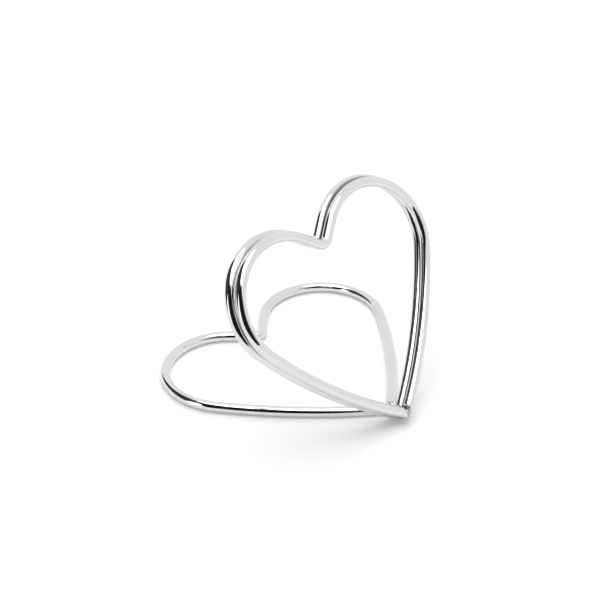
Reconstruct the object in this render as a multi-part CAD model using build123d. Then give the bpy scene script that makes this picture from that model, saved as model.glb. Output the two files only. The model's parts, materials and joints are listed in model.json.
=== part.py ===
"""Wire place card holder in millimetres, +Z up: one heart lies flat as the base and two stand at its tip."""
import os
from math import atan2, cos, degrees, radians, sin, sqrt

from build123d import *

# Wire stock: its diameter, the gap between the cut ends at each tip and the rounding of those ends
wire_d = 1.6
end_gap = 0.7
end_round = 0.2

# Room kept round a wire that flexes beside another piece
flex_clearance = 0.2

# Base heart: centreline of its lobes and arms, slope into the notch and the bend inside it
base_lobe_radius = 9.65
base_lobe_offset = 10.6
base_lobe_height = 24.85
base_arm_radius = 86.0
base_notch_slope = 43.7
base_notch_inside = 0.45

# Rear heart of the clip: centreline of its lobes and arms
rear_lobe_radius = 9.55
rear_lobe_offset = 9.6
rear_lobe_height = 24.6
rear_arm_radius = 72.0

# Front heart of the clip: a little smaller
front_lobe_radius = 9.35
front_lobe_offset = 9.4
front_lobe_height = 24.15
front_arm_radius = 71.0

# Notch of both clip hearts
clip_notch_slope = 42.5
clip_notch_inside = 0.55

# Stance of the clip: angle to the table, turn in its own plane and the slot that takes the card
clip_lean = 58.0
clip_turn = 5.1
card_gap = 0.2

# The solder stays this far under the surface of the wires that it joins
solder_recess = 0.1


def heart(lobe_radius, lobe_offset, lobe_height, arm_radius, notch_slope, notch_inside):
    """Bend a wire into a heart in XY: tip at the origin, axis along +Y, ends cut either side of the axis."""
    # The arm is an arc through the tip that runs into the lobe's circle without a kink
    lobe_centre = Vector(lobe_offset, lobe_height)
    reach = lobe_centre.length
    along = (reach**2 + 2 * arm_radius * lobe_radius - lobe_radius**2) / (2 * reach)
    across = sqrt(arm_radius**2 - along**2)
    axis = lobe_centre.normalized()
    arm_centre = axis * along + axis.rotate(Axis.Z, 90) * across
    to_tip = arm_centre * -1
    bow = to_tip.get_angle(lobe_centre - arm_centre)
    past_tip = degrees(2 * wire_d / arm_radius)
    to_start = to_tip.rotate(Axis.Z, -past_tip)
    arm = JernArc(arm_centre + to_start, to_start.rotate(Axis.Z, 90), arm_radius, past_tip + bow)

    # Round the lobe, straight down into the notch, and a tight bend that ends square to the axis
    heading = degrees(atan2((arm % 1).Y, (arm % 1).X))
    lobe = JernArc(arm @ 1, arm % 1, lobe_radius, 180 + notch_slope - heading)
    slope = radians(notch_slope)
    notch_radius = notch_inside + wire_d / 2
    run_length = ((lobe @ 1).X - notch_radius * sin(slope)) / cos(slope)
    run = Line(lobe @ 1, lobe @ 1 + (lobe % 1) * run_length)
    notch = JernArc(run @ 1, run % 1, notch_radius, -notch_slope)

    # Sweep one half from beyond the tip, cut its end beside the axis and mirror it
    section = Plane(origin=arm @ 0, x_dir=(0, 0, 1), z_dir=arm % 0) * Circle(wire_d / 2)
    half = sweep(section, path=Wire([arm, lobe, run, notch]))
    past_end = Box(lobe_height, lobe_height, 2 * wire_d, align=(Align.MAX, Align.CENTER, Align.CENTER))
    half -= Pos(end_gap / 2, 0) * past_end
    cut = half.faces().filter_by(Axis.X).sort_by(Axis.Y)[0]
    half = fillet(cut.edges(), end_round)
    return half + mirror(half, about=Plane.YZ)


# The base lies on the table, and the tips of the rear and front hearts follow one another before its tip
wire_r = wire_d / 2
base_seat = Pos(0, 0, wire_r)
rear_seat = base_seat * Pos(0, -wire_d - flex_clearance, 0) * Rot(X=clip_lean)
front_seat = rear_seat * Pos(0, 0, wire_d + card_gap)

base = base_seat * heart(
    base_lobe_radius,
    base_lobe_offset,
    base_lobe_height,
    base_arm_radius,
    base_notch_slope,
    base_notch_inside,
)
rear = rear_seat * Rot(Z=clip_turn) * heart(
    rear_lobe_radius,
    rear_lobe_offset,
    rear_lobe_height,
    rear_arm_radius,
    clip_notch_slope,
    clip_notch_inside,
)
front = front_seat * Rot(Z=clip_turn) * heart(
    front_lobe_radius,
    front_lobe_offset,
    front_lobe_height,
    front_arm_radius,
    clip_notch_slope,
    clip_notch_inside,
)

# A bead of solder fills the gap in the base's tip, and a thin web of it runs between the clip hearts' ends
solder_r = wire_r - solder_recess
seats = [base_seat, rear_seat, front_seat]
beads = [Pos(seat.position.Y, seat.position.Z) * Circle(solder_r) for seat in seats]
outline = make_hull([bead.edge() for bead in beads])
web = extrude(Plane.YZ * outline, end_gap / 2 - flex_clearance, both=True)
solder = web + extrude(Plane.YZ * beads[0], end_gap / 2, both=True)

pieces = {"base_heart": base, "rear_heart": rear, "front_heart": front, "tip_solder": solder}

# Origin on the table, under the middle of the holder
box = Compound(list(pieces.values())).bounding_box()
to_origin = Pos(-box.center().X, -box.center().Y, -box.min.Z)
os.makedirs("parts", exist_ok=True)
for name, piece in pieces.items():
    export_step(to_origin * piece, f"parts/{name}.step")
print("rear tip", (to_origin * rear_seat).position, "front tip", (to_origin * front_seat).position)
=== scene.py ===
"""Looks of the wire place card holder: three hearts of plated wire and a solder seam, on a white table."""

import json
import logging
from dataclasses import astuple, dataclass, field
from enum import Enum
from math import atan2, cos, hypot, radians, sin, sqrt
from typing import ClassVar

import bmesh
import bpy
from mathutils import Matrix, Vector


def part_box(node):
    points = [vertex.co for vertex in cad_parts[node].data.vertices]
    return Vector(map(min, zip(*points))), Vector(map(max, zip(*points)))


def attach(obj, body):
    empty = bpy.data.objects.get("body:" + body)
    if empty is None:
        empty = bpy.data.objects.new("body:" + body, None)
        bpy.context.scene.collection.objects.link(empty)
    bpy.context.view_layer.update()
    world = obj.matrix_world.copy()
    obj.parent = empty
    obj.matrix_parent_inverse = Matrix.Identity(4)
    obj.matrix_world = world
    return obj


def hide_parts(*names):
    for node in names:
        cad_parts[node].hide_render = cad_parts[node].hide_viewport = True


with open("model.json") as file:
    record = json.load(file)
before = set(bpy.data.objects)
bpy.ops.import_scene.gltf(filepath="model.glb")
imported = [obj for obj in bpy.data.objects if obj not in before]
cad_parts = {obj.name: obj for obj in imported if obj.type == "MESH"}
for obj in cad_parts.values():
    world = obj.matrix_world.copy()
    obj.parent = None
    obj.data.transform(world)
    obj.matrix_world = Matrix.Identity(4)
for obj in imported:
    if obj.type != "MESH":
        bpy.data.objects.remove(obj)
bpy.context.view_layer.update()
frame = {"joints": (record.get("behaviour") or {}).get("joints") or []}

log = logging.getLogger("place_card_holder")

MM = 0.001
QUARTER_TURN = radians(90)
WHITE = (1.0, 1.0, 1.0, 1.0)

# Wire stock, as in the CAD part: its radius, the gap between the cut ends and the rounding of those ends
WIRE_RADIUS = 0.8 * MM
END_GAP = 0.7 * MM
END_ROUND = 0.2 * MM

# Stance of the clip: step from its rear tip back to the base's tip, angle to the table, turn in its plane
TIP_STEP = 1.8 * MM
CLIP_LEAN = 58.0
CLIP_TURN = 5.1

# Vertices this close are merged, and vertices this close to a cutting plane lie on it
MERGE_DISTANCE = 1e-7
CUT_DISTANCE = 1e-9


class Stance(Enum):
    """How a heart is held: flat on the table, or standing in the clip."""

    LYING = "lying"
    STANDING = "standing"


class Neighbour(Enum):
    """Side of a heart, along its own Z, on which another wire runs close by."""

    NONE = 0
    ABOVE = 1
    BELOW = -1


class LightShape(Enum):
    """Outline of a studio light."""

    DISK = "DISK"
    RECTANGLE = "RECTANGLE"


class LightUse(Enum):
    """What a studio light does: it lights matt surfaces, or it shows in bright ones."""

    FILL = "fill"
    MIRRORED = "mirrored"


def towards(azimuth: float, elevation: float) -> Vector:
    """Unit vector from the holder towards a place in the studio.

    Args:
        azimuth: degrees from the front, -Y, round to +X.
        elevation: degrees above the table.

    Returns:
        The direction, in the frame's axes.
    """
    turn, rise = radians(azimuth), radians(elevation)
    return Vector((sin(turn) * cos(rise), -cos(turn) * cos(rise), sin(rise)))


def portion(value: float, start: float, end: float) -> float:
    """How far a value lies on the way from start to end, held between 0 and 1."""
    return min(max((value - start) / (end - start), 0.0), 1.0)


def round_edges(bm: bmesh.types.BMesh, edges: list[bmesh.types.BMEdge], size: float, steps: int) -> None:
    """Round off edges of a mesh.

    Args:
        bm: the mesh.
        edges: the edges to round.
        size: how far the rounding reaches from an edge.
        steps: faces across the rounding.
    """
    bmesh.ops.bevel(
        bm,
        geom=edges,
        offset=size,
        offset_type="OFFSET",
        affect="EDGES",
        segments=steps,
        profile=0.5,
        material=-1,
        clamp_overlap=True,
    )


def place_mesh(name: str, bm: bmesh.types.BMesh, material: bpy.types.Material) -> bpy.types.Object:
    """Make an object at the origin from a finished bmesh.

    Args:
        name: the object's name.
        bm: the mesh, in metres in the frame; it is freed.
        material: the one material of the mesh.

    Returns:
        The object, linked to the scene.
    """
    mesh = bpy.data.meshes.new(name)
    bm.to_mesh(mesh)
    bm.free()
    mesh.materials.append(material)
    piece = bpy.data.objects.new(name, mesh)
    bpy.context.scene.collection.objects.link(piece)
    return piece


class NodeSheet:
    """A new material's node tree, with short ways to add nodes and links."""

    # Limits between which most values of a noise lie
    NOISE_LOW = 0.3
    NOISE_HIGH = 0.7

    def __init__(self, name: str) -> None:
        """Start from an output and a Principled shader.

        Args:
            name: the material's name.
        """
        self.material = bpy.data.materials.new(name)
        self.material.use_nodes = True
        self.tree = self.material.node_tree
        self.tree.nodes.clear()
        self.shader = self.add("ShaderNodeBsdfPrincipled")
        output = self.add("ShaderNodeOutputMaterial")
        self.join(self.shader.outputs["BSDF"], output.inputs["Surface"])

    def add(self, kind: str, **settings: object) -> bpy.types.Node:
        """Add a node.

        Args:
            kind: the node's type name.
            settings: attributes to set on it.

        Returns:
            The node.
        """
        node = self.tree.nodes.new(kind)
        for key, value in settings.items():
            setattr(node, key, value)
        return node

    def join(self, source: bpy.types.NodeSocket, target: bpy.types.NodeSocket) -> None:
        """Link one socket to another."""
        self.tree.links.new(source, target)

    def noise(self, vector: bpy.types.NodeSocket, scale: float, octaves: float) -> bpy.types.NodeSocket:
        """Add a noise texture.

        Args:
            vector: the coordinates to read.
            scale: features per metre.
            octaves: how many finer layers it has.

        Returns:
            The noise value.
        """
        node = self.add("ShaderNodeTexNoise")
        node.inputs["Scale"].default_value = scale
        node.inputs["Detail"].default_value = octaves
        self.join(vector, node.inputs["Vector"])
        return node.outputs["Fac"]

    def spread(self, value: bpy.types.NodeSocket, low: float, high: float) -> bpy.types.NodeSocket:
        """Map the middle of a noise's range onto new limits.

        Args:
            value: a noise value.
            low: result for a low noise.
            high: result for a high noise.

        Returns:
            The mapped value.
        """
        node = self.add("ShaderNodeMapRange")
        limits = {"From Min": self.NOISE_LOW, "From Max": self.NOISE_HIGH, "To Min": low, "To Max": high}
        for key, limit in limits.items():
            node.inputs[key].default_value = limit
        self.join(value, node.inputs["Value"])
        return node.outputs["Result"]

    def blend(
        self,
        share: bpy.types.NodeSocket,
        first: bpy.types.NodeSocket | tuple[float, float, float],
        second: tuple[float, float, float],
    ) -> bpy.types.NodeSocket:
        """Mix two colours by a value.

        Args:
            share: how much of the second colour.
            first: colour at 0, or the socket that gives it.
            second: colour at 1.

        Returns:
            The mixed colour.
        """
        node = self.add("ShaderNodeMix", data_type="RGBA")
        if isinstance(first, bpy.types.NodeSocket):
            self.join(first, node.inputs["A"])
        else:
            node.inputs["A"].default_value = (*first, 1.0)
        node.inputs["B"].default_value = (*second, 1.0)
        self.join(share, node.inputs["Factor"])
        return node.outputs["Result"]

    def bump(
        self, height: bpy.types.NodeSocket, depth: float, under: bpy.types.NodeSocket | None = None
    ) -> bpy.types.NodeSocket:
        """Add a bump of a real depth.

        Args:
            height: the height, from 0 to 1.
            depth: the depth in metres.
            under: normal of a bump that this one lies on.

        Returns:
            The bumped normal.
        """
        node = self.add("ShaderNodeBump")
        node.inputs["Distance"].default_value = depth
        self.join(height, node.inputs["Height"])
        if under is not None:
            self.join(under, node.inputs["Normal"])
        return node.outputs["Normal"]


@dataclass(frozen=True)
class PlatedWire:
    """Bright plating on drawn wire: faint lines along it, some haze, and painted shade, darker and
    rougher, along the side that faces the other wire.
    """

    slot: str = "plated_wire"
    silver: tuple[float, float, float] = (0.74, 0.745, 0.755)
    hazed: tuple[float, float, float] = (0.70, 0.705, 0.715)
    # The dull colour and its roughness are painted shade along the side that faces the other wire
    dull: tuple[float, float, float] = (0.26, 0.26, 0.27)
    polish: float = 0.035
    haze: float = 0.085
    shade_rough: float = 0.3
    draw_stretch: float = 0.02
    draw_lines: float = 5200.0
    draw_octaves: float = 2.0
    draw_depth: float = 0.0006 * MM
    wave_stretch: float = 0.35
    waves: float = 420.0
    wave_octaves: float = 1.0
    wave_depth: float = 0.006 * MM
    cloud: float = 160.0
    cloud_octaves: float = 3.0

    def material(self) -> bpy.types.Material:
        """Build the plating's material.

        Returns:
            The material, which reads the attributes of a drawn wire.
        """
        sheet = NodeSheet(self.slot)
        shader = sheet.shader
        place = sheet.add("ShaderNodeTexCoord").outputs["Object"]
        drawn = sheet.add("ShaderNodeAttribute", attribute_name=DrawnWire.LAYER).outputs["Vector"]
        painted_shade = sheet.add("ShaderNodeAttribute", attribute_name=DrawnWire.SHADE_LAYER).outputs["Fac"]
        cloud = sheet.noise(place, self.cloud, self.cloud_octaves)

        shader.inputs["Metallic"].default_value = 1.0
        plating = sheet.blend(sheet.spread(cloud, 0.0, 1.0), self.silver, self.hazed)
        # Painted shade: the plating is mixed towards the dull colour, and the polish towards a rougher
        # one, where the other wire runs close
        sheet.join(sheet.blend(painted_shade, plating, self.dull), shader.inputs["Base Color"])

        rough = sheet.add("ShaderNodeMix")
        rough.inputs["B"].default_value = self.shade_rough
        sheet.join(sheet.spread(cloud, self.polish, self.haze), rough.inputs["A"])
        sheet.join(painted_shade, rough.inputs["Factor"])
        sheet.join(rough.outputs["Result"], shader.inputs["Roughness"])

        lines_place = self._stretched(sheet, drawn, self.draw_stretch)
        waves_place = self._stretched(sheet, drawn, self.wave_stretch)
        lines = sheet.noise(lines_place, self.draw_lines, self.draw_octaves)
        waves = sheet.noise(waves_place, self.waves, self.wave_octaves)
        normal = sheet.bump(lines, self.draw_depth, sheet.bump(waves, self.wave_depth))
        sheet.join(normal, shader.inputs["Normal"])
        return sheet.material

    @staticmethod
    def _stretched(sheet: NodeSheet, vector: bpy.types.NodeSocket, share: float) -> bpy.types.NodeSocket:
        """Stretch a pattern along the straight wire.

        Args:
            sheet: the material's nodes.
            vector: place on the straight wire.
            share: scale along the wire, against that round it.

        Returns:
            The stretched coordinates.
        """
        mapping = sheet.add("ShaderNodeMapping")
        mapping.inputs["Scale"].default_value = (1.0, 1.0, share)
        sheet.join(vector, mapping.inputs["Vector"])
        return mapping.outputs["Vector"]


@dataclass(frozen=True)
class SolderFinish:
    """Satin solder, plated over: duller and lumpier than the wire."""

    slot: str = "solder"
    bright: tuple[float, float, float] = (0.58, 0.57, 0.61)
    dull: tuple[float, float, float] = (0.40, 0.39, 0.44)
    smooth: float = 0.22
    rough: float = 0.48
    lumps: float = 1500.0
    lump_octaves: float = 2.0
    lump_depth: float = 0.05 * MM
    grain: float = 9000.0
    grain_octaves: float = 3.0
    grain_depth: float = 0.006 * MM

    def material(self) -> bpy.types.Material:
        """Build the solder's material.

        Returns:
            The material.
        """
        sheet = NodeSheet(self.slot)
        shader = sheet.shader
        place = sheet.add("ShaderNodeTexCoord").outputs["Object"]
        lumps = sheet.noise(place, self.lumps, self.lump_octaves)
        grain = sheet.noise(place, self.grain, self.grain_octaves)
        shader.inputs["Metallic"].default_value = 1.0
        tone = sheet.blend(sheet.spread(lumps, 0.0, 1.0), self.bright, self.dull)
        sheet.join(tone, shader.inputs["Base Color"])
        sheet.join(sheet.spread(grain, self.smooth, self.rough), shader.inputs["Roughness"])
        normal = sheet.bump(grain, self.grain_depth, sheet.bump(lumps, self.lump_depth))
        sheet.join(normal, shader.inputs["Normal"])
        return sheet.material


@dataclass(frozen=True)
class TableWhite:
    """Matt white of the table top, which glows a little and is faintly mottled."""

    white: float = 0.9
    mottle: float = 0.01
    mottle_scale: float = 40.0
    mottle_octaves: float = 2.0
    rough: float = 0.7
    sheen: float = 0.1
    glow: float = 0.15

    def material(self) -> bpy.types.Material:
        """Build the table's material.

        Returns:
            The material.
        """
        sheet = NodeSheet("table_white")
        shader = sheet.shader
        place = sheet.add("ShaderNodeTexCoord").outputs["Object"]
        mottle = sheet.spread(sheet.noise(place, self.mottle_scale, self.mottle_octaves), 0.0, 1.0)
        tone = sheet.blend(mottle, (self.white,) * 3, (self.white - self.mottle,) * 3)
        sheet.join(tone, shader.inputs["Base Color"])
        shader.inputs["Roughness"].default_value = self.rough
        shader.inputs["Specular IOR Level"].default_value = self.sheen
        shader.inputs["Emission Color"].default_value = WHITE
        shader.inputs["Emission Strength"].default_value = self.glow
        return sheet.material


@dataclass(frozen=True)
class CardBlack:
    """Matt black of the bent cards, with the glow of their posts."""

    black: tuple[float, float, float] = (0.012, 0.012, 0.013)
    rough: float = 0.9

    def material(self) -> bpy.types.Material:
        """Build the cards' material.

        Returns:
            The material, which reads the glow of a bent card.
        """
        sheet = NodeSheet("card_black")
        shader = sheet.shader
        glow = sheet.add("ShaderNodeAttribute", attribute_name=BentCard.GLOW).outputs["Fac"]
        sheet.join(glow, shader.inputs["Emission Strength"])
        shader.inputs["Emission Color"].default_value = WHITE
        shader.inputs["Base Color"].default_value = (*self.black, 1.0)
        shader.inputs["Roughness"].default_value = self.rough
        shader.inputs["Specular IOR Level"].default_value = 0.0
        return sheet.material


class DrawnWire:
    """Wire drawn along arcs and straights in XY; each vertex keeps its place on the straight wire."""

    LAYER = "drawn"
    # Vertex attribute with the share of painted shade along the side that faces the other wire
    SHADE_LAYER = "painted_shade"
    SIDES = 40
    ROUND_STEPS = 4

    # Degrees from the neighbour's direction: painted shade up to the first, none from the second on
    CLOSED = 14.0
    OPEN = 36.0

    # Towards the tip the painted shade is wider: by these degrees there, falling to none at this height
    TIP_SHADE = 26.0
    TIP_SHADE_END = 14.0 * MM

    # On the -X half the painted shade loses this share between these heights
    FADE = 0.9
    FADE_START = 10.0 * MM
    FADE_END = 27.0 * MM

    def __init__(self, start: Vector) -> None:
        """Start with a section at a point, facing along X.

        Args:
            start: the centre of the first section.
        """
        self.bm = bmesh.new()
        self.layer = self.bm.verts.layers.float_vector.new(self.LAYER)
        self.along = 0.0
        section = bmesh.ops.create_circle(self.bm, segments=self.SIDES, radius=WIRE_RADIUS)["verts"]
        for vert in section:
            vert[self.layer] = vert.co
        face_along_x = Matrix.Translation(start) @ Matrix.Rotation(QUARTER_TURN, 4, "Y")
        bmesh.ops.transform(self.bm, matrix=face_along_x, verts=section)
        self.ring = self.bm.edges[:]
        self.last_faces: list[bmesh.types.BMFace] = []

    def _step(self, move: Matrix, length: float) -> None:
        """Draw the section on by one move.

        Args:
            move: transform from the last section to the next.
            length: distance along the wire's centre.
        """
        new = bmesh.ops.extrude_edge_only(self.bm, edges=self.ring)["geom"]
        verts = [item for item in new if isinstance(item, bmesh.types.BMVert)]
        fresh = set(verts)
        self.last_faces = [item for item in new if isinstance(item, bmesh.types.BMFace)]
        self.ring = [
            item for item in new if isinstance(item, bmesh.types.BMEdge) and fresh.issuperset(item.verts)
        ]
        bmesh.ops.transform(self.bm, matrix=move, verts=verts)
        self.along += length
        for vert in verts:
            vert[self.layer].z = self.along

    def straight(self, run: Vector, steps: int) -> None:
        """Draw the wire straight on.

        Args:
            run: vector of the whole run.
            steps: sections along it.
        """
        for _ in range(steps):
            self._step(Matrix.Translation(run / steps), run.length / steps)

    def arc(self, centre: Vector, radius: float, turn: float, steps: int) -> None:
        """Draw the wire round a centre.

        Args:
            centre: the arc's centre.
            radius: the arc's radius at the wire's centre.
            turn: angle in radians, positive to the left.
            steps: sections along it.
        """
        angle = turn / steps
        move = Matrix.Translation(centre) @ Matrix.Rotation(angle, 4, "Z") @ Matrix.Translation(-centre)
        for _ in range(steps):
            self._step(move, abs(angle) * radius)

    def cut_end(self, plane_x: float, rounding: float) -> None:
        """Cut the last stretch square to X, close it and round its edge.

        Args:
            plane_x: where the cut is.
            rounding: size of the rounded edge.
        """
        band = {item for face in self.last_faces for item in (face, *face.edges, *face.verts)}
        cut = bmesh.ops.bisect_plane(
            self.bm,
            geom=list(band),
            dist=CUT_DISTANCE,
            plane_co=(plane_x, 0, 0),
            plane_no=(1, 0, 0),
            clear_inner=True,
        )["geom_cut"]
        rim = [item for item in cut if isinstance(item, bmesh.types.BMEdge)]
        cap = bmesh.ops.contextual_create(self.bm, geom=rim)["faces"]
        for face in self.bm.faces:
            face.smooth = True
        for face in cap:
            face.smooth = False
        round_edges(self.bm, rim, rounding, self.ROUND_STEPS)

    def mirrored(self, neighbour: Neighbour) -> bmesh.types.BMesh:
        """Add the other half of the wire, close the join and paint shade on the side that faces another
        wire.

        Args:
            neighbour: the side on which the other wire runs.

        Returns:
            The finished mesh.
        """
        bm = self.bm
        bmesh.ops.mirror(
            bm, geom=bm.verts[:] + bm.edges[:] + bm.faces[:], axis="X", merge_dist=MERGE_DISTANCE
        )
        bmesh.ops.remove_doubles(bm, verts=bm.verts, dist=MERGE_DISTANCE)
        bmesh.ops.recalc_face_normals(bm, faces=bm.faces)
        # Each vertex keeps its share of painted shade
        shade_layer = bm.verts.layers.float.new(self.SHADE_LAYER)
        for vert in bm.verts:
            vert[shade_layer] = self._painted_shade(vert.co, neighbour)
            if vert.co.x < 0:
                vert[self.layer].z *= -1
        return bm

    def _painted_shade(self, place: Vector, neighbour: Neighbour) -> float:
        """How much painted shade a point gets, on the side that faces the wire beside it.

        Args:
            place: the point on the unplaced heart.
            neighbour: the side on which the other wire runs.

        Returns:
            The share of painted shade, from 0 to 1.
        """
        facing = neighbour.value * place.z / WIRE_RADIUS
        tip_shade = self.TIP_SHADE * max(1 - place.y / self.TIP_SHADE_END, 0.0)
        share = portion(facing, cos(radians(self.OPEN + tip_shade)), cos(radians(self.CLOSED)))
        eased = share * share * (3 - 2 * share)
        if place.x < 0:
            eased *= 1 - self.FADE * portion(place.y, self.FADE_START, self.FADE_END)
        return eased


@dataclass
class WireHeart:
    """One heart bent from plated wire; lengths in metres, angles in degrees, tip at the local origin."""

    name: str
    node: str
    body: str
    stance: Stance
    tip: Vector
    lobe_radius: float
    lobe_offset: float
    lobe_height: float
    arm_radius: float
    notch_slope: float
    notch_inside: float
    neighbour: Neighbour = Neighbour.NONE
    notch_steps: int = 12
    run_steps: int = 8
    lobe_steps: int = 72
    arm_steps: int = 48
    end_reserve: float = 2.4 * MM

    def bent(self) -> bmesh.types.BMesh:
        """Bend the wire in XY, from the notch round the lobe to the tip, and mirror it.

        Returns:
            The heart's mesh, with its axis along +Y.
        """
        lobe = Vector((self.lobe_offset, self.lobe_height, 0))
        slope = radians(self.notch_slope)
        notch_radius = self.notch_inside + WIRE_RADIUS
        lobe_start = lobe + self.lobe_radius * Vector((-sin(slope), cos(slope), 0))
        downhill = Vector((-cos(slope), -sin(slope), 0))
        run_length = (lobe_start.x - notch_radius * sin(slope)) / cos(slope)
        run_foot = lobe_start + downhill * run_length
        notch = Vector((0, run_foot.y + notch_radius * cos(slope), 0))
        arm = self._arm_centre(lobe)
        lobe_to_arm = atan2(lobe.y - arm.y, lobe.x - arm.x)
        bow = lobe_to_arm - atan2(-arm.y, -arm.x)
        reserve = self.end_reserve / self.arm_radius

        wire = DrawnWire(notch - Vector((0, notch_radius, 0)))
        wire.arc(notch, notch_radius, slope, self.notch_steps)
        wire.straight(-downhill * run_length, self.run_steps)
        wire.arc(lobe, self.lobe_radius, lobe_to_arm - QUARTER_TURN - slope, self.lobe_steps)
        wire.arc(arm, self.arm_radius, reserve - bow, self.arm_steps)

        # The last stretch runs as far past the tip as it starts before it, and the cut falls inside it
        wire.arc(arm, self.arm_radius, -2 * reserve, 1)
        wire.cut_end(END_GAP / 2, END_ROUND)
        return wire.mirrored(self.neighbour)

    def _arm_centre(self, lobe: Vector) -> Vector:
        """Centre of the arc that leaves the tip and runs into the lobe without a kink.

        Args:
            lobe: centre of the lobe.

        Returns:
            The centre of the arm's arc.
        """
        reach = hypot(lobe.x, lobe.y)
        along = (reach**2 + 2 * self.arm_radius * self.lobe_radius - self.lobe_radius**2) / (2 * reach)
        across = sqrt(self.arm_radius**2 - along**2)
        axis = lobe.normalized()
        return axis * along + Vector((-axis.y, axis.x, 0)) * across

    def seat(self) -> Matrix:
        """Place of the heart's own axes in the frame.

        Returns:
            The transform from the heart's axes to the frame's.
        """
        place = Matrix.Translation(self.tip)
        if self.stance is Stance.STANDING:
            lean = Matrix.Rotation(radians(CLIP_LEAN), 4, "X")
            place = place @ lean @ Matrix.Rotation(radians(CLIP_TURN), 4, "Z")
        return place

    def build(self, finish: PlatedWire, material: bpy.types.Material) -> bpy.types.Object:
        """Make the piece, which stands for its CAD node.

        Args:
            finish: the wire's finish; not used.
            material: the material made from it.

        Returns:
            The piece.
        """
        bm = self.bent()
        bmesh.ops.transform(bm, matrix=self.seat(), verts=bm.verts)
        piece = place_mesh(self.name, bm, material)
        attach(piece, self.body)
        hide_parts(self.node)
        return piece


@dataclass
class SolderSeam:
    """The solder at the tips: a bead in the base's tip and a web between the clip hearts' ends."""

    name: str
    node: str
    body: str
    tips: list[Vector]
    web_half: float = 0.3 * MM
    web_radius: float = 0.7 * MM
    web_round: float = 0.08 * MM
    web_sides: int = 32
    web_round_steps: int = 3
    bead_radius: float = 0.79 * MM
    bead_half: float = 0.62 * MM
    bead_subdivisions: int = 4

    # Hull faces within these degrees are one flat face, and a flank faces along X by at least this share
    flat_within: float = 1.0
    flank_normal: float = 0.99

    def cast(self) -> bmesh.types.BMesh:
        """Cast the web round the three tips, and the bead over it.

        Returns:
            The seam's mesh.
        """
        bm = bmesh.new()
        along_x = Matrix.Rotation(QUARTER_TURN, 4, "Y")
        for tip in self.tips:
            for half in (-self.web_half, self.web_half):
                place = Matrix.Translation(tip + Vector((half, 0, 0))) @ along_x
                bmesh.ops.create_circle(bm, segments=self.web_sides, radius=self.web_radius, matrix=place)
        hull = bmesh.ops.convex_hull(bm, input=bm.verts)
        spare = hull["geom_interior"] + hull["geom_unused"]
        inside = {item for item in spare if isinstance(item, bmesh.types.BMVert)}
        bmesh.ops.delete(bm, geom=list(inside), context="VERTS")
        bmesh.ops.dissolve_limit(bm, angle_limit=radians(self.flat_within), verts=bm.verts, edges=bm.edges)
        flanks = [face for face in bm.faces if abs(face.normal.x) > self.flank_normal]
        rims = list({edge for face in flanks for edge in face.edges})
        round_edges(bm, rims, self.web_round, self.web_round_steps)

        squash = Matrix.Diagonal((self.bead_half / self.bead_radius, 1, 1, 1))
        place = Matrix.Translation(self.tips[0]) @ squash
        bmesh.ops.create_icosphere(
            bm, subdivisions=self.bead_subdivisions, radius=self.bead_radius, matrix=place
        )
        bmesh.ops.recalc_face_normals(bm, faces=bm.faces)

        # A flank has many corners and stays flat; triangles and quads are smooth
        for face in bm.faces:
            face.smooth = len(face.verts) <= 4
        return bm

    def build(self, finish: SolderFinish) -> bpy.types.Object:
        """Make the piece, which stands for its CAD node.

        Args:
            finish: the solder's finish.

        Returns:
            The piece.
        """
        piece = place_mesh(self.name, self.cast(), finish.material())
        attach(piece, self.body)
        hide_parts(self.node)
        return piece


@dataclass(frozen=True)
class StudioLight:
    """A soft area light that looks at the holder; lengths in metres, power in watts."""

    name: str
    shape: LightShape
    use: LightUse
    azimuth: float
    elevation: float
    distance: float
    width: float
    height: float
    power: float

    def build(self, aim: Vector) -> bpy.types.Object:
        """Place the light.

        Args:
            aim: the point that it looks at.

        Returns:
            The light's object.
        """
        lamp = bpy.data.lights.new(self.name, "AREA")
        lamp.shape = self.shape.value
        lamp.size = self.width
        lamp.size_y = self.height
        lamp.energy = self.power
        light = bpy.data.objects.new(self.name, lamp)
        away = towards(self.azimuth, self.elevation)
        light.location = aim + away * self.distance
        light.rotation_euler = away.to_track_quat("Z", "Y").to_euler()
        light.visible_diffuse = self.use is LightUse.FILL
        light.visible_glossy = self.use is LightUse.MIRRORED
        bpy.context.scene.collection.objects.link(light)
        return light


@dataclass(frozen=True)
class CardPost:
    """One upright of a bent card: its azimuth, the elevations of its foot and top, and its glow."""

    azimuth: float
    low: float
    high: float
    glow: float = 0.0

    def between(self, other: "CardPost", share: float) -> "CardPost":
        """Work out a post on the way to another one.

        Args:
            other: the post at the far end.
            share: how far towards it, from 0 to 1.

        Returns:
            The post in between.
        """
        pairs = zip(astuple(self), astuple(other))
        return CardPost(*(first + (second - first) * share for first, second in pairs))


@dataclass(frozen=True)
class BentCard:
    """A card round the holder, bent from post to post, which the camera does not see.

    A dark card paints a black reflection on the wires, and a glowing one paints a white one; the card
    neither lights nor shades anything.
    """

    GLOW: ClassVar[str] = "glow"

    name: str
    distance: float
    posts: tuple[CardPost, ...]
    steps: int = 6

    def build(self, aim: Vector, material: bpy.types.Material) -> bpy.types.Object:
        """Bend the card round the holder.

        Args:
            aim: the point that it stands round.
            material: the card's material.

        Returns:
            The card's object.
        """
        stations = [
            here.between(there, step / self.steps)
            for here, there in zip(self.posts, self.posts[1:])
            for step in range(self.steps)
        ]
        stations.append(self.posts[-1])

        bm = bmesh.new()
        layer = bm.verts.layers.float.new(self.GLOW)
        foot, top = [], []
        for post in stations:
            for row, elevation in ((foot, post.low), (top, post.high)):
                vert = bm.verts.new(aim + towards(post.azimuth, elevation) * self.distance)
                vert[layer] = post.glow
                row.append(vert)
        edges = [bm.edges.new(pair) for row in (foot, top) for pair in zip(row, row[1:])]
        bmesh.ops.bridge_loops(bm, edges=edges)
        card = place_mesh(self.name, bm, material)
        # Seen only in reflections on the wires: a painted reflection
        card.visible_camera = False
        card.visible_diffuse = False
        card.visible_shadow = False
        return card


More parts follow.
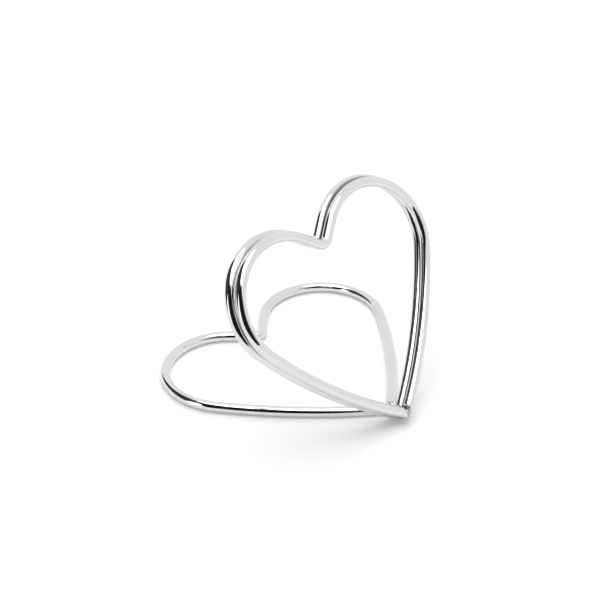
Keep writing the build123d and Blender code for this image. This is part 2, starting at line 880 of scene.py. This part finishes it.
@dataclass
class Studio:
    """White table, soft light, bent cards and the camera of the picture."""

    aim: Vector = field(default_factory=lambda: Vector((-2.856, 0.299, 14.706)) * MM)
    azimuth: float = -44.898
    elevation: float = 32.626
    distance: float = 256.32 * MM
    lens: float = 101.475
    sensor: float = 36.0
    nearest: float = 10.0 * MM
    table_half: float = 3.0
    table: TableWhite = TableWhite()
    surround: float = 1.0
    surround_fill: float = 0.35
    lights: tuple[StudioLight, ...] = (
        StudioLight(
            "back_softbox",
            LightShape.RECTANGLE,
            LightUse.FILL,
            azimuth=128.0,
            elevation=48.0,
            distance=1.2,
            width=0.7,
            height=0.5,
            power=3.3,
        ),
        StudioLight(
            "overhead_softbox",
            LightShape.DISK,
            LightUse.FILL,
            azimuth=-30.0,
            elevation=86.0,
            distance=1.2,
            width=1.34,
            height=1.34,
            power=10.4,
        ),
        StudioLight(
            "overhead_panel",
            LightShape.DISK,
            LightUse.MIRRORED,
            azimuth=-65.0,
            elevation=76.0,
            distance=1.2,
            width=1.17,
            height=1.17,
            power=9.6,
        ),
    )
    card_finish: CardBlack = CardBlack()
    cards: tuple[BentCard, ...] = (
        BentCard(
            "camera_side_card",
            distance=0.16,
            posts=(
                CardPost(-103.0, 38.0, 56.0),
                CardPost(-90.0, 25.0, 56.0),
                CardPost(-85.0, 2.0, 57.0),
                CardPost(-77.0, -4.0, 57.0),
                CardPost(-60.0, -5.0, 56.0),
                CardPost(-40.0, -5.0, 55.0),
                CardPost(-27.0, 3.0, 51.0),
                CardPost(-12.0, 10.0, 43.0, 0.06),
                CardPost(8.0, 18.0, 32.0, 0.55),
            ),
        ),
        BentCard(
            "left_card",
            distance=0.11,
            posts=(
                CardPost(-173.0, 2.0, 8.0, 0.5),
                CardPost(-165.0, -2.0, 30.0, 0.06),
                CardPost(-157.0, 0.0, 50.0),
                CardPost(-150.0, 2.0, 53.0, 0.04),
                CardPost(-135.0, 1.0, 55.0, 0.04),
                CardPost(-120.0, -4.0, 58.0, 0.04),
                CardPost(-112.0, -4.0, 59.0, 0.04),
                CardPost(-107.0, 20.0, 59.0, 0.03),
                CardPost(-98.0, 35.0, 59.0, 0.02),
                CardPost(-86.0, 42.0, 57.0),
            ),
        ),
        BentCard(
            "left_strip",
            distance=0.75,
            posts=(
                CardPost(-120.0, -1.0, 34.0, 1.5),
                CardPost(-78.0, -1.0, 44.0, 1.5),
            ),
        ),
    )

    def build(self) -> None:
        """Set up everything round the holder."""
        self._lay_table()
        self._light_room()
        self._set_camera()
        centre = Vector((0, 0, self.aim.z))
        for light in self.lights:
            light.build(centre)
        black = self.card_finish.material()
        for card in self.cards:
            card.build(centre, black)
        bpy.context.scene.view_settings.view_transform = "Standard"

    def _lay_table(self) -> None:
        """Lay the white table top under the holder."""
        bm = bmesh.new()
        bmesh.ops.create_grid(bm, x_segments=1, y_segments=1, size=self.table_half)
        place_mesh("table", bm, self.table.material())

    def _light_room(self) -> None:
        """White room: full for the camera and for reflections, dimmer as fill light on the table."""
        world = bpy.data.worlds.new("white_room")
        world.use_nodes = True
        tree = world.node_tree
        backdrop = tree.nodes["Background"]
        path = tree.nodes.new("ShaderNodeLightPath")
        level = tree.nodes.new("ShaderNodeMapRange")
        level.inputs["To Min"].default_value = self.surround
        level.inputs["To Max"].default_value = self.surround_fill
        tree.links.new(path.outputs["Is Diffuse Ray"], level.inputs["Value"])
        tree.links.new(level.outputs["Result"], backdrop.inputs["Strength"])
        backdrop.inputs["Color"].default_value = WHITE
        bpy.context.scene.world = world

    def _set_camera(self) -> None:
        """Set the camera at the picture's viewing angle."""
        lens = bpy.data.cameras.new("picture_camera")
        lens.lens = self.lens
        lens.sensor_width = self.sensor
        lens.clip_start = self.nearest
        camera = bpy.data.objects.new("picture_camera", lens)
        camera.location = self.aim + towards(self.azimuth, self.elevation) * self.distance
        camera.rotation_euler = (QUARTER_TURN - radians(self.elevation), 0.0, radians(self.azimuth))
        bpy.context.scene.collection.objects.link(camera)
        bpy.context.scene.camera = camera


def tips() -> list[Vector]:
    """Tips of the base, rear and front hearts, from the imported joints.

    Returns:
        The three points, in the frame.
    """
    flexes = {joint["name"]: Vector(joint["pos_m"]) for joint in frame["joints"]}
    rear, front = flexes["rear_flex"], flexes["front_flex"]
    return [rear + Vector((0, TIP_STEP, 0)), rear, front]


def hearts() -> list[WireHeart]:
    """The three hearts, seated at their tips.

    Returns:
        The base, rear and front hearts.
    """
    base_tip, rear_tip, front_tip = tips()
    return [
        WireHeart(
            "base_wire",
            "base_heart",
            "base",
            Stance.LYING,
            base_tip,
            lobe_radius=9.65 * MM,
            lobe_offset=10.6 * MM,
            lobe_height=24.85 * MM,
            arm_radius=86.0 * MM,
            notch_slope=43.7,
            notch_inside=0.45 * MM,
        ),
        WireHeart(
            "rear_wire",
            "rear_heart",
            "rear_leaf",
            Stance.STANDING,
            rear_tip,
            lobe_radius=9.55 * MM,
            lobe_offset=9.6 * MM,
            lobe_height=24.6 * MM,
            arm_radius=72.0 * MM,
            notch_slope=42.5,
            notch_inside=0.55 * MM,
            neighbour=Neighbour.ABOVE,
        ),
        WireHeart(
            "front_wire",
            "front_heart",
            "front_leaf",
            Stance.STANDING,
            front_tip,
            lobe_radius=9.35 * MM,
            lobe_offset=9.4 * MM,
            lobe_height=24.15 * MM,
            arm_radius=71.0 * MM,
            notch_slope=42.5,
            notch_inside=0.55 * MM,
            neighbour=Neighbour.BELOW,
        ),
    ]


def report(piece: bpy.types.Object, node: str) -> None:
    """Log a piece's faces and size, beside the size of the CAD node that it stands for.

    Args:
        piece: the finished piece.
        node: the node's name.
    """
    low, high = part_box(node)
    size = [max(values) - min(values) for values in zip(*piece.bound_box)]
    log.info(
        "%s: %d faces, size %s mm, node %s mm",
        piece.name,
        len(piece.data.polygons),
        [round(value / MM, 2) for value in size],
        [round(value / MM, 2) for value in high - low],
    )


def main() -> None:
    """Build the hearts, the solder seam and the studio."""
    logging.basicConfig(level=logging.INFO, format="%(name)s: %(message)s")
    finish = PlatedWire()
    plating = finish.material()
    for heart in hearts():
        report(heart.build(finish, plating), heart.node)
    seam = SolderSeam("solder_seam", "tip_solder", "base", tips())
    report(seam.build(SolderFinish()), seam.node)
    Studio().build()


if __name__ == "__main__":
    main()
